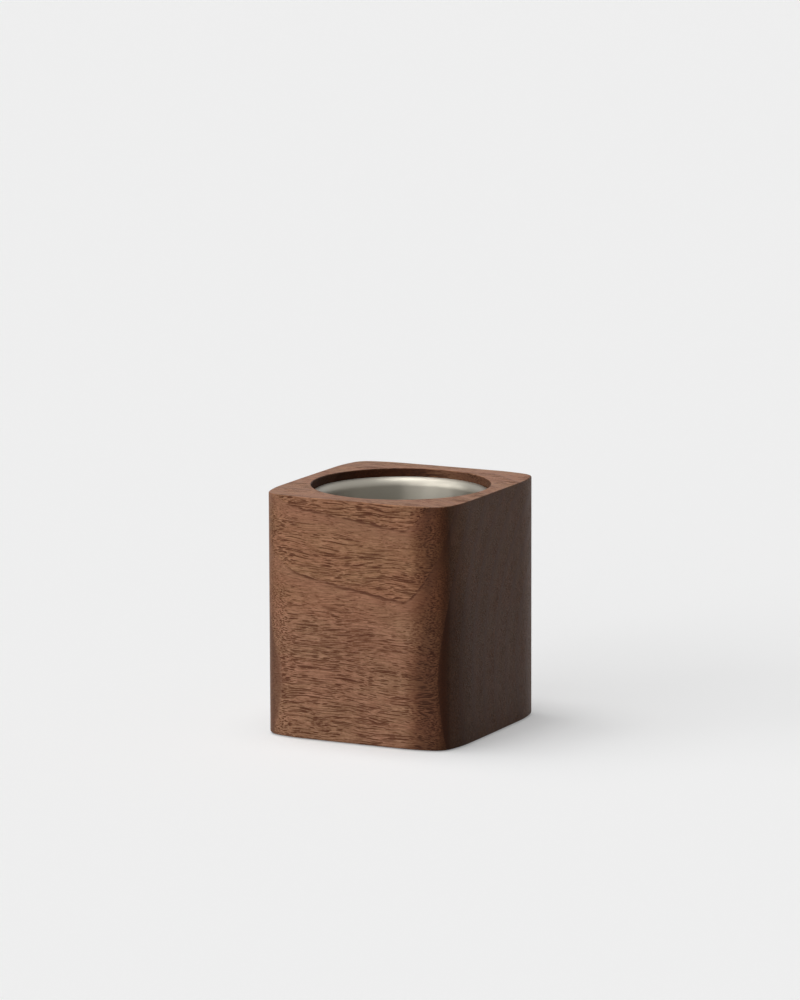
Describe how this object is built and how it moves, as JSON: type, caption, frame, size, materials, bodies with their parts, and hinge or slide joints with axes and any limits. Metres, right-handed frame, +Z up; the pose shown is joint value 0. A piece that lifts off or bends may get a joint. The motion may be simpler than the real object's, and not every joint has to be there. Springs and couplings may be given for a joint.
{
  "type": "desk pen pot",
  "caption": "Walnut block with softly rounded corners and a deep round well, lined by a lift-out steel cup whose flared lip sits just below the top face; holds pens upright.",
  "frame": {"origin": "middle of the footprint, on the surface that the pot stands on", "axes": "+Z up along the well's axis; -Y is a wide face with long grain, +X is an end-grain face"},
  "size_m": [0.076, 0.08, 0.0883],
  "materials": {
    "walnut": "oiled solid walnut, grain level along X",
    "satin_steel": "satin stainless steel, brushed round its axis",
    "cork": "fine-grained agglomerated cork"
  },
  "bodies": {
    "block": {"walnut_block": "walnut", "cup_seat_pad": "cork", "base_pad": "cork"},
    "cup": {"steel_cup": "satin_steel"}
  },
  "joints": [
    {"name": "cup_lift", "type": "slide", "parent": "block", "child": "cup", "axis": [0, 0, 1], "range_m": [0, 0.085]}
  ]
}
